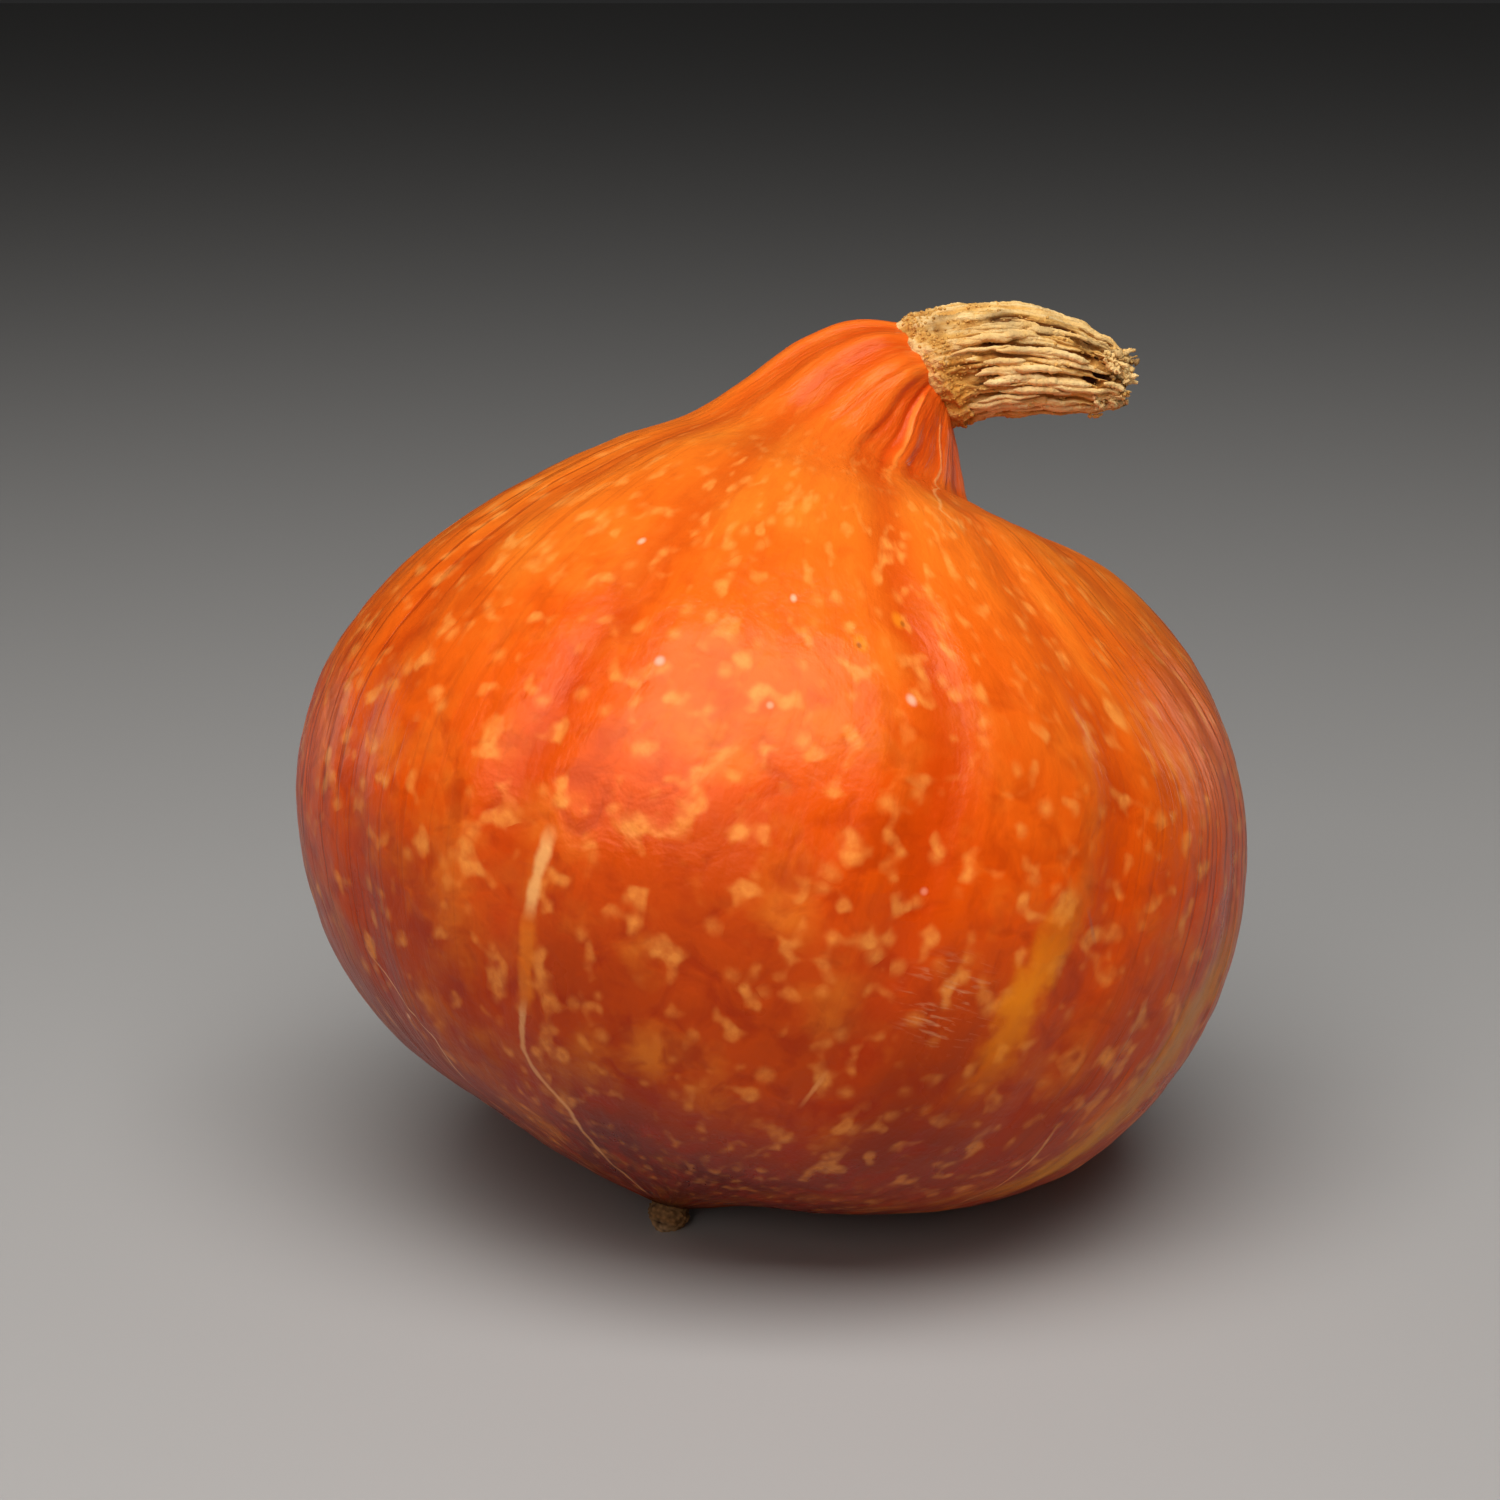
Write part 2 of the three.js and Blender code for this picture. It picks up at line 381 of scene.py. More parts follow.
def furrowRelief(bearing, t, radius):
    halfWidth = min(fruit["furrowHalfWidth"], fruit["furrowShare"] * radius)
    onBelly = 0.25 + 0.75 * smoothstep(t, 0.1, 0.45)
    onNeck = 0.5 * smoothstep(t, 0.66, 0.85) * (1 - smoothstep(t, 0.93, 1))
    relief = np.zeros_like(bearing)
    for i, (centre, depth) in enumerate(furrows):
        wander = 1.5 * math.sin(9 * t + 2.4 * i) * (1 - smoothstep(t, 0.6, 0.8))
        turn = np.radians(bearing - centre - wander)
        apart = np.arctan2(np.sin(turn), np.cos(turn)) * radius
        relief += depth * (onBelly + onNeck) * np.exp(-((apart / halfWidth) ** 2))
    return relief


def pleatRelief(bearing, t, radius):
    relief = np.zeros_like(bearing)
    for pleat in pleats:
        places, bearings = zip(*pleat["path"])
        turn = np.radians(bearing - np.interp(t, places, bearings))
        apart = np.arctan2(np.sin(turn), np.cos(turn)) * radius
        first, last = places[0], places[-1]
        here = smoothstep(t, first, first + 0.1) * (1 - 0.5 * smoothstep(t, last - 0.04, last))
        relief += pleat["depth"] * here * np.exp(-((apart / pleat["halfWidth"]) ** 2))
    return relief


# The ring at t, from the blossom end, 0, to the rim, 1, in the fruit's own frame.
def fruitRing(t, bearing):
    left = alongCurve(leftSide, t)
    right = alongCurve(rightSide, t)
    across = (right - left) / 2
    radius = np.linalg.norm(across)
    pinch = fruit["neckPinch"] * smoothstep(t, 0.68, 0.8) * (1 - smoothstep(t, 0.86, 0.97))
    bellyDepth = 1 + (fruit["depthShare"] - 1) * smoothstep(t, 0.05, 0.3)
    grown = grownBearing(bearing, t)
    relief = furrowRelief(grown, t, radius)
    pleat = pleatRelief(grown, t, radius)
    share = 1 - (relief + pleat) / radius
    angle = np.radians(bearing)
    ring = (left + right) / 2 + np.outer(share * np.cos(angle), across)
    ring[:, 1] = radius * bellyDepth * (1 - pinch) * share * np.sin(angle)
    return ring, relief, pleat


def buildFruit():
    bearing = np.arange(fruit["around"]) * 360 / fruit["around"]
    angle = np.radians(bearing)
    steps = np.linspace(0, 1, fruit["along"] + 1)
    rings, forms, growths = [], [], []
    grownLeft = grownRight = 0
    girth = fruit["width"] / 2 * mm
    for i, t in enumerate(steps):
        ring, relief, pleat = fruitRing(t, bearing)
        if i:
            grownLeft += np.linalg.norm(alongCurve(leftSide, t) - alongCurve(leftSide, steps[i - 1]))
            grownRight += np.linalg.norm(alongCurve(rightSide, t) - alongCurve(rightSide, steps[i - 1]))
        grown = (grownLeft * (1 - np.cos(angle)) + grownRight * (1 + np.cos(angle))) / 2
        turn = np.radians(grownBearing(bearing, t))
        growths.append(np.stack([girth * np.cos(turn), girth * np.sin(turn), grown * mm], 1))
        forms.append(np.stack([np.full_like(angle, t), relief, pleat], 1))
        rings.append(ring @ np.array(leaning).T)
    floorHeight = min(ring[:, 2].min() for ring in rings) + fruit["flattened"]
    low, high = (np.array(corner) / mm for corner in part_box("fruit"))
    points = np.vstack(rings)
    middle = (points.min(axis=0) + points.max(axis=0)) / 2
    offset = (low + high) / 2 - middle
    offset[2] = -floorHeight
    rings = [ring + offset for ring in rings]
    for ring in rings:
        ring[:, 2] = np.maximum(ring[:, 2], 0)
    fields = {"growth": growths, "form": forms}
    piece = skinOver("fruit_rind", rings, rings[0].mean(axis=0), rings[-1].mean(axis=0), fields)
    return piece, Vector(offset)


# Marks that the fruit grew with: a path of [t, bearing], and a width in mm at the belly, which
# narrows towards the neck and the blossom end with the lines of growth.
streaks = {
    "brightStreak": {
        "path": [[0.344, 244.7], [0.41, 246.2]],
        "width": 2.3, "strength": 0.85, "colour": "#ffb56a",
    },
    "paleLine": {
        "path": [[0.04, 247], [0.196, 248.6], [0.236, 243.8], [0.25, 242.9], [0.295, 244.6]],
        "width": 1.5, "strength": 0.7, "colour": "#f2a868",
    },
    "faintLine": {
        "path": [[0.28, 244.6], [0.355, 244.9]],
        "width": 3.2, "strength": 0.45, "colour": "#f98a20",
    },
    "shortStreak": {
        "path": [[0.27, 283], [0.306, 284.1]],
        "width": 1.0, "strength": 0.5, "colour": "#ffab62",
    },
    "leftLine": {
        "path": [[0.04, 222], [0.104, 220.3], [0.228, 223], [0.285, 213]],
        "width": 0.55, "strength": 0.7, "colour": "#ffc891",
    },
    "rightLine": {
        "path": [[0.19, 330], [0.306, 320.6]],
        "width": 0.7, "strength": 0.6, "colour": "#f3a75e",
    },
    "neckLine": {
        "path": [[0.655, 309], [0.664, 303], [0.672, 301], [0.752, 318.3], [0.836, 320.1], [0.93, 312]],
        "width": 2, "strength": 0.5, "colour": "#ffb768",
    },
    "ridgeLight": {
        "path": [[0.69, 288.4], [0.72, 291.5], [0.772, 295.8], [0.824, 294], [0.888, 289.9], [0.945, 287.8]],
        "width": 3.2, "strength": 0.45, "colour": "#ff9b3e",
    },
    "goldenBand": {
        "path": [[0.3, 302.4], [0.33, 303.8], [0.38, 302.8], [0.47, 306.4]],
        "width": 7.5, "strength": 0.75, "colour": "#ff9410", "fade": 0.08,
    },
    "goldenEdge": {
        "path": [[0.2, 331], [0.304, 335.5], [0.404, 338.5], [0.48, 348]],
        "width": 14, "strength": 0.78, "colour": "#e8900a", "fade": 0.07,
    },
    "greyScratch": {
        "path": [[0.425, 311], [0.448, 307.6]],
        "width": 0.8, "strength": 0.5, "colour": "#8f6f66",
    },
}
# Healed pinpricks and small corky cracks, with places in growth: [distance from the blossom end,
# bearing, radius, colour], in mm and degrees.
smallMarks = [
    [165.5, 239.2, 1.2, "#ffc9a4"],
    [142.8, 251.2, 1.3, "#ffbfa6"],
    [161.0, 266.0, 1.1, "#ffc9a0"],
    [147.5, 281.8, 1.4, "#ffc8aa"],
    [140.2, 265.0, 0.9, "#ffae86"],
    [67.2, 217.5, 0.9, "#ffc9a4"],
    [117.5, 287.3, 0.9, "#ff9672"],
    [155.5, 275.9, 2.3, "#fb8f1c"],
    [155.0, 275.6, 0.9, "#7a3206"],
    [162.0, 282.6, 2.2, "#fb8f1c"],
    [161.5, 283.3, 0.9, "#8a3c06"],
]
# A scuffed place with level scratches, low on the right.
scuff = {"grown": 101, "bearing": 294, "radius": 11, "core": 4, "colour": "#e29c6c", "dulling": 0.3}

# Waxy rind of a winter squash: saturated orange skin under a thin natural wax, so it shows soft
# satin reflections over pale flecks that stretch towards the neck. Sizes are in mm.
rindLook = {
    "shadeByHeight": [(0.15, "#761602"), (0.44, "#e65205"), (0.66, "#f77a1d"), (0.88, "#f46b1b")],
    "patchSize": 45.455,
    "yellowColour": "#f8922a",
    "yellowMost": 0.42,
    "cloudSize": 20.833,
    "mottleColour": "#a32402",
    "mottleSize": 6.6667,
    "lineColour": "#8a2606",
    "lineSpacing": 1.4,
    "lineMost": 0.68,
    "furrowShadeColour": "#c23302",
    "pleatShadeColour": "#c43403",
    "fleckColour": "#ffa146",
    "fleckSize": 4.5,
    "fleckBend": 1.3,
    "fleckGrain": 1.6129,
    "crowdSize": 29.412,
    "dotSize": 5.2,
    "streakGrain": 3.8462,
    "scratchSize": 0.76923,
    "scarredColour": "#4a2410",
    "roughness": 0.3,
    "gloss": 0.25,
    "glossTint": "#ffd6b8",
    "peelSize": 1.8,
    "peelDepth": 0.1,
}


# How strongly a streak covers a point of the rind. The chart turns until the streak lies along X.
def streakCover(tree, growth, rough, t, streak):
    path = streak["path"]
    first, last = path[0][0], path[-1][0]
    guide = addNode(tree, "ShaderNodeFloatCurve", inputs={"Value": t})
    curve = guide.mapping.curves[0]
    for place, bearing in path[1:-1]:
        curve.points.new(place, bearing / 360)
    for end in (0, -1):
        curve.points[end].location = (path[end][0], path[end][1] / 360)
    for point in curve.points:
        point.handle_type = "VECTOR"
    guide.mapping.extend = "HORIZONTAL"
    guide.mapping.update()
    back = maths(tree, "MULTIPLY", guide, -2 * math.pi)
    turned = addNode(tree, "ShaderNodeVectorRotate", growth, rotation_type="Z_AXIS", inputs={"Angle": back})
    parts = split(tree, turned)
    wide = streak["width"] * mm
    ragged = maths(tree, "MULTIPLY_ADD", rough, wide * 0.9, -wide * 0.45)
    apart = total(tree, maths(tree, "ABSOLUTE", parts["Y"]), ragged)
    inside = ease(tree, apart, wide * 0.8, wide * 0.15, 0.0, streak["strength"])
    fade = streak.get("fade", 0.016)
    begun = remap(tree, t, first, first + fade, 0.0, 1.0)
    ended = remap(tree, t, last - fade, last, 1.0, 0.0)
    facing = maths(tree, "GREATER_THAN", parts["X"], 0.0)
    return product(tree, inside, begun, ended, facing)


# How near a point of the rind is to a place in growth.
def nearPlace(tree, growth, grown, bearing, outer, inner, most):
    turn = math.radians(bearing)
    girth = fruit["width"] / 2 * mm
    centre = (girth * math.cos(turn), girth * math.sin(turn), grown * mm)
    apart = vectorMaths(tree, "DISTANCE", growth, centre).outputs["Value"]
    return ease(tree, apart, outer * mm, inner * mm, 0.0, most)


# Pale flecks in islands, and small round ones.
def fleckCover(tree, growth, t):
    look = rindLook
    size = look["fleckSize"] * mm
    shift = scaled(tree, drift(tree, growth, size / 1.3, 1.5), look["fleckBend"] * mm)
    warped = vectorMaths(tree, "ADD", growth, shift)
    islands = noise(tree, warped, size, 1.2, roughness=0.3)
    crowd = noise(tree, growth, look["crowdSize"] * mm, 1.0)
    bias = maths(tree, "MULTIPLY_ADD", crowd, 0.16, -0.08)
    fleck = ease(tree, total(tree, islands, bias), 0.55, 0.78, 0.0, 0.68)
    spots = cells(tree, warped, look["dotSize"] * mm)
    chosen = split(tree, spots.outputs["Color"])["X"]
    reach = remap(tree, chosen, 0.35, 1.0, 0.0, 0.4)
    nearby = maths(tree, "SUBTRACT", reach, spots.outputs["Distance"])
    dot = ease(tree, nearby, -0.12, 0.38, 0.0, 0.6)
    neck = remap(tree, t, 0.62, 0.78, 1.0, 0.2)
    base = remap(tree, t, 0.05, 0.4, 0.5, 1.0)
    grains = noise(tree, growth, look["fleckGrain"] * mm, 2.0)
    grained = remap(tree, grains, 0.36, 0.58, 0.68, 1.0)
    return product(tree, maths(tree, "MAXIMUM", fleck, dot), neck, base, grained)


def makeRind():
    material, tree, skin = newMaterial("waxySquashRind")
    look = rindLook
    growth = shaderField(tree, "growth")
    t, furrow, pleat = split(tree, shaderField(tree, "form"))

    # Painted shade and light by height: a deep base, partly the rind's own deeper red and partly painted
    # shade, through the belly to a brighter top, partly painted light, in uneven patches.
    patches = noise(tree, growth, look["patchSize"] * mm, 3.0)
    uneven = maths(tree, "MULTIPLY_ADD", patches, 0.3, -0.15)
    colour = colourRamp(tree, total(tree, t, uneven), look["shadeByHeight"])
    cloud = noise(tree, growth, look["cloudSize"] * mm, 4.0, roughness=0.6)
    yellow = remap(tree, cloud, 0.52, 0.75, 0.0, look["yellowMost"])
    colour = blend(tree, yellow, colour, look["yellowColour"])

    # Darker mottling between the flecks, strongest low on the belly.
    mottle = noise(tree, growth, look["mottleSize"] * mm, 3.0, distortion=0.5)
    low = remap(tree, t, 0.25, 0.62, 0.75, 0.12)
    dark = remap(tree, mottle, 0.48, 0.68, 0.0, low)
    colour = blend(tree, dark, colour, look["mottleColour"])

    # Thin dark lines of growth, on the sides and round the shoulder.
    fine = vectorMaths(tree, "MULTIPLY", growth, (1.0, 1.0, 0.035))
    lines = noise(tree, fine, look["lineSpacing"] * mm, 3.0, distortion=0.2)
    line = remap(tree, lines, 0.54, 0.65, 0.0, 1.0)
    front = vectorMaths(tree, "DOT_PRODUCT", growth, (0.25, -11.5, 0.0)).outputs["Value"]
    side = ease(tree, maths(tree, "ABSOLUTE", front), 0.84, 0.3, 0.05, look["lineMost"])
    below = remap(tree, t, 0.67, 0.76, 1.0, 0.2)
    lined = product(tree, line, side, below)
    colour = blend(tree, lined, colour, look["lineColour"])
    # Deeper red painted into the furrows and the neck's pleats, as their shade.
    hollow = remap(tree, furrow, 0.3, 1.4, 0.0, 0.5)
    colour = blend(tree, hollow, colour, look["furrowShadeColour"])
    deep = maths(tree, "MULTIPLY", pleat, 0.6, use_clamp=True)
    colour = blend(tree, deep, colour, look["pleatShadeColour"])

    colour = blend(tree, fleckCover(tree, growth, t), colour, look["fleckColour"])
    rough = noise(tree, growth, look["streakGrain"] * mm, 2.0)
    for streak in streaks.values():
        colour = blend(tree, streakCover(tree, growth, rough, t, streak), colour, streak["colour"])
    for grown, bearing, radius, markColour in smallMarks:
        healed = nearPlace(tree, growth, grown, bearing, radius, radius * 0.2, 0.65)
        colour = blend(tree, healed, colour, markColour)

    around = nearPlace(tree, growth, scuff["grown"], scuff["bearing"], scuff["radius"], scuff["core"], 1.0)
    level = vectorMaths(tree, "MULTIPLY", growth, (0.2, 0.2, 1.0))
    scratches = noise(tree, level, look["scratchSize"] * mm, 3.0, distortion=0.5)
    scuffed = product(tree, remap(tree, scratches, 0.53, 0.72, 0.0, 0.5), around)
    colour = blend(tree, scuffed, colour, scuff["colour"])
    scarred = ease(tree, t, 0.004, 0.03, 0.9, 0.0)
    colour = blend(tree, scarred, colour, look["scarredColour"])

    # The wax is duller in places and on the scuff, and its peel and fine lines catch the light.
    dull = remap(tree, cloud, 0.3, 0.7, look["roughness"] - 0.05, look["roughness"] + 0.09)
    peel = noise(tree, growth, look["peelSize"] * mm, 2.0)
    raised = maths(tree, "MULTIPLY_ADD", lined, -1.6, peel)
    swollen = maths(tree, "MULTIPLY_ADD", mottle, -3.0, raised)
    bump = addNode(tree, "ShaderNodeBump", inputs={"Height": swollen, "Distance": look["peelDepth"] * mm})
    fill(tree, skin, {
        "Base Color": colour,
        "Roughness": maths(tree, "MULTIPLY_ADD", scuffed, scuff["dulling"], dull),
        "Normal": bump,
        "Specular IOR Level": look["gloss"],
        "Specular Tint": linear(look["glossTint"]),
    })
    return material


rindRelief = {
    "lumpHeight": 1.1 * mm,
    "lumpSize": 26 * mm,
    "swellHeight": 0.6 * mm,
    "swellSize": 9 * mm,
    "wrinkleHeight": 0.2 * mm,
    "wrinkleSize": 5.5 * mm,
    "wrinkleLength": 70 * mm,
}


# Lumps all over, and fine wrinkles that run from the blossom end to the neck.
def makeRindRelief(material):
    tree, given = newTree("rindRelief", rindRelief)
    place = addNode(tree, "GeometryNodeInputPosition")
    layers = []
    for name in ("lump", "swell"):
        waves = maths(tree, "SUBTRACT", noise(tree, place, given[name + "Size"], 1.0), 0.5)
        layers.append(product(tree, waves, given[name + "Height"]))
    along = stretched(tree, meshField(tree, "growth"), given["wrinkleSize"], given["wrinkleLength"])
    folds = noise(tree, along, given["wrinkleSize"], 2.0, distortion=0.3)
    folds = maths(tree, "ABSOLUTE", maths(tree, "SUBTRACT", folds, 0.5))
    creases = maths(tree, "MULTIPLY", folds, 7.0, use_clamp=True)
    inward = maths(tree, "SUBTRACT", creases, 1.0)
    below = remap(tree, split(tree, meshField(tree, "form"))["X"], 0.6, 0.72, 1.0, 0.15)
    layers.append(product(tree, inward, given["wrinkleHeight"], below))
    raised = swell(tree, given[0], total(tree, *layers))
    return endTree(tree, restOnFloor(tree, raised), material)


rind, fruitOffset = buildFruit()
rind = applyTree(rind, makeRindRelief(makeRind()), rindRelief)
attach(rind, "root")
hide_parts("fruit")
print("fruit built")


# The stem, in a frame that stands on the rim's centre and points out of it. It rises out of the
# rind, swells into a corky collar, bends to its lower side and ends in torn fibres.
stem = {
    "radius": 10.6,
    "path": [(0, 0, 0), (1.1, 0, 6.2), (3.7, 0, 12.8), (8.2, 0, 20.4), (13, 0, 26), (18, 0, 31.4)],
    "girth": [
        (0, 0.99), (0.07, 1.07), (0.2, 1.02), (0.45, 0.98), (0.7, 0.88), (0.85, 0.74), (0.95, 0.56), (1, 0.44)
    ],
    "ridges": 13,
    "ridgeHeight": 0.15,
    "collarBulge": 0.6,
    "tornLength": 3.6,
    "upperLoss": 4.8,
    "upperTaper": 0.17,
    "tornHollow": 4,
    "sunk": 0.8,
    "around": 300,
    "along": 230,
    "inside": 14,
    "seed": 7,
}
stemRadius = stem["radius"] * mm
stemLength = sum(math.dist(a, b) for a, b in zip(stem["path"], stem["path"][1:])) * mm


def stemFrame():
    bearing = np.arange(0, 360, 5)
    rim, _, _ = fruitRing(1, bearing)
    across = rim[0] - rim[len(rim) // 2]
    tilt = Matrix.Rotation(math.atan2(-across[2], across[0]), 4, "Y")
    seat = Matrix.Translation(rim.mean(axis=0)) @ tilt
    return Matrix.Translation(fruitOffset) @ leaning.to_4x4() @ seat


def stemAxis(share):
    near = 1e-4
    path = stem["path"]
    ahead = alongCurve(path, min(share + near, 1)) - alongCurve(path, max(share - near, 0))
    straight = smoothstep(share, 0, 0.3)
    tangent = np.array((0, 0, 1)) * (1 - straight) + ahead / np.linalg.norm(ahead) * straight
    return alongCurve(path, share), tangent / np.linalg.norm(tangent)


def stemGirth(share):
    places, girths = zip(*stem["girth"])
    i = min(np.searchsorted(places, share, side="right"), len(places) - 1)
    between = smoothstep(share, places[i - 1], places[i])
    return stem["radius"] * (girths[i - 1] + (girths[i] - girths[i - 1]) * between)


def stemRing(share, angle, draws):
    point, tangent = stemAxis(share)
    across = np.array((tangent[2], 0, -tangent[0]))
    lower = np.maximum(np.cos(angle), 0) ** 2
    upper = np.maximum(-np.cos(angle), 0) ** 2
    wander = 0.5 * np.sin(4.5 * share + 2 * angle) + 0.35 * np.sin(9 * share + angle)
    wave = 0.5 + 0.5 * np.cos(stem["ridges"] * angle + wander)
    ridge = 1 - stem["ridgeHeight"] * (1 - wave**0.6) * smoothstep(share, 0.02, 0.25)
    ridge -= stem["upperTaper"] * upper * smoothstep(share, 0.45, 0.85)
    collar = smoothstep(share, 0, 0.06) * (1 - smoothstep(share, 0.12, 0.32))
    radius = stemGirth(share) * ridge + stem["collarBulge"] * collar * lower
    place = angle / (2 * math.pi) * len(draws)
    i = place.astype(int)
    step = smoothstep(place - i, 0.3, 0.7)
    torn = draws[i % len(draws)] * (1 - step) + draws[(i + 1) % len(draws)] * step
    uneven = ((torn - 0.5) * stem["tornLength"] - upper * stem["upperLoss"]) * smoothstep(share, 0.6, 1)
    ring = point + np.outer(radius * np.cos(angle), across) + np.outer(uneven, tangent)
    ring[:, 1] += 0.97 * radius * np.sin(angle)
    return ring


def buildStem():
    draws = np.random.default_rng(stem["seed"]).random(31)
    angle = np.arange(stem["around"]) * 2 * math.pi / stem["around"]
    shares = np.linspace(0, 1, stem["along"] + 1)
    rings = [stemRing(share, angle, draws) for share in shares]
    rings = [rings[0] - np.array((0, 0, stem["sunk"])), *rings]
    places = [0, *shares]
    # The torn end turns inwards to a hollow.
    rim = rings[-1]
    end, tangent = stemAxis(1)
    heart = end - tangent * stem["tornHollow"]
    for k in range(1, stem["inside"]):
        inwards = k / stem["inside"]
        rings.append(rim + (heart - rim) * inwards - math.sin(math.pi * inwards) * tangent)
        places.append(1 + 0.12 * inwards)
    placing = np.array(stemFrame())
    turn, shift = placing[:3, :3].T, placing[:3, 3]
    rings = [ring @ turn + shift for ring in rings]
    around = np.stack([stemRadius * np.cos(angle), stemRadius * np.sin(angle)], 1)
    grains = [np.insert(around, 2, place * stemLength, axis=1) for place in places]
    return skinOver("stem_cork", rings, rings[0].mean(axis=0), heart @ turn + shift, {"grain": grains})


# Dry cork of a cut stem: pale tan fibres, with painted shade, brown, in the depths between them and painted
# highlights on the raised tops, with no gloss. Sizes are in mm.
corkLook = {
    "shadeAndHighlightByDepth": [(0.1, "#4a230a"), (0.45, "#a86a28"), (0.75, "#e2ae5e"), (1.0, "#f6d596")],
    "lineSize": 0.55556,
    "stainColour": "#84633f",
    "stainSize": 4.1667,
    "collarColour": "#c98530",
    "collarEnd": 12,
    "gritSize": 0.58824,
    "gritDepth": 0.38,
    "roughness": 0.9,
    "gloss": 0.12,
}


def makeCork():
    material, tree, skin = newMaterial("dryStemCork")
    look = corkLook
    grain = shaderField(tree, "grain")
    parts = split(tree, grain)
    drawnOut = vectorMaths(tree, "MULTIPLY", grain, (1.0, 1.0, 0.1))
    lines = noise(tree, drawnOut, look["lineSize"] * mm, 3.0)
    uneven = maths(tree, "MULTIPLY_ADD", lines, 0.4, -0.2)
    # The colour follows the carved depth: painted shade in the gaps and slits, painted highlights on the
    # raised tops.
    colour = colourRamp(tree, total(tree, shaderField(tree, "raised", "Fac"), uneven), look["shadeAndHighlightByDepth"])
    stains = noise(tree, grain, look["stainSize"] * mm, 4.0)
    blotch = remap(tree, stains, 0.48, 0.7, 0.0, 0.85)
    upper = remap(tree, parts["X"], 0.0, -stemRadius, 0.35, 1.0)
    colour = blend(tree, product(tree, blotch, upper), colour, look["stainColour"])
    under = remap(tree, parts["X"], -6 * mm, 6 * mm, 0.3, 0.85)
    near = ease(tree, parts["Z"], 2 * mm, look["collarEnd"] * mm, under, 0.0)
    grit = noise(tree, addNode(tree, "ShaderNodeTexCoord").outputs["Object"], look["gritSize"] * mm, 3.0)
    bump = addNode(tree, "ShaderNodeBump", inputs={
        "Height": total(tree, grit, lines), "Distance": look["gritDepth"] * mm
    })
    fill(tree, skin, {
        "Base Color": blend(tree, near, colour, look["collarColour"]),
        "Roughness": look["roughness"],
        "Normal": bump,
        "Specular IOR Level": look["gloss"],
    })
    return material


# How deep the cork is carved, along the grain.
corkRelief = {
    "strandWidth": 2.1 * mm,
    "strandLength": 19 * mm,
    "strandDepth": 0.7 * mm,
    "slitWidth": 1.1 * mm,
    "slitLength": 13 * mm,
    "slitDepth": 1.4 * mm,
    "grainSize": 0.6 * mm,
    "grainHeight": 0.3 * mm,
    "knobSize": 3.84615 * mm,
    "knobHeight": 0.9 * mm,
    "bendSize": 9.0909 * mm,
    "bendReach": 3 * mm,
    "collarEnd": 11 * mm,
    "smoothTop": 0.3,
}


def makeCorkRelief(material):
    tree, given = newTree("corkRelief", corkRelief)
    grain = meshField(tree, "grain")
    place = addNode(tree, "GeometryNodeInputPosition")
    parts = split(tree, grain)
    # The strands wander, so the grain is bent before it is stretched.
    bend = scaled(tree, drift(tree, grain, given["bendSize"], 2.0), given["bendReach"])
    bent = vectorMaths(tree, "ADD", grain, bend)

    # The strands begin where the collar ends, and the upper side is smoother.
    away = ease(tree, parts["Z"], 0.0, given["collarEnd"], 0.0, 1.0)
    lower = remap(tree, parts["X"], -0.85 * stemRadius, -0.35 * stemRadius, given["smoothTop"], 1.0)
    away = product(tree, away, lower)
    along = maths(tree, "MULTIPLY_ADD", away, 0.8, 0.2)

    # Strands: long cells with narrow gaps between them.
    drawnOut = stretched(tree, bent, given["strandWidth"], given["strandLength"])
    edges = cells(tree, drawnOut, given["strandWidth"], "DISTANCE_TO_EDGE")
    strand = remap(tree, edges, 0.0, 0.22, 0.0, 1.0, kind="SMOOTHERSTEP")
    gaps = product(tree, maths(tree, "SUBTRACT", strand, 1.0), given["strandDepth"], along)

    # Deep slits, where strands have shrunk apart.
    drawnOut = stretched(tree, bent, given["slitWidth"], given["slitLength"])
    slit = noise(tree, drawnOut, maths(tree, "MULTIPLY", given["slitWidth"], 1.25), 2.0, roughness=0.4)
    slits = product(tree, ease(tree, slit, 0.56, 0.68, 0.0, 1.0), away, given["slitDepth"])

    # Granular cork all over, coarser on the collar.
    warts = cells(tree, place, given["grainSize"], "SMOOTH_F1").outputs["Distance"]
    wart = remap(tree, warts, 0.0, 0.8, 0.6, -0.4)
    rough = remap(tree, away, 0.0, 1.0, 1.0, 0.55)
    granules = product(tree, wart, rough, given["grainHeight"])
    knobs = remap(tree, noise(tree, place, given["knobSize"], 3.0), 0.3, 0.7, -1.0, 1.0)
    collar = remap(tree, parts["Z"], 1 * mm, given["collarEnd"], 1.0, 0.12)
    lumps = product(tree, knobs, given["knobHeight"], collar)

    height = total(tree, maths(tree, "SUBTRACT", gaps, slits), granules, lumps)
    # The carved depth is kept for the colour, which paints shade in the gaps and slits and highlights on the
    # raised tops.
    light = remap(tree, height, -1.5 * mm, 0.25 * mm, 0.0, 1.0)
    kept = store(tree, given[0], "raised", light)
    return endTree(tree, swell(tree, kept, height), material)


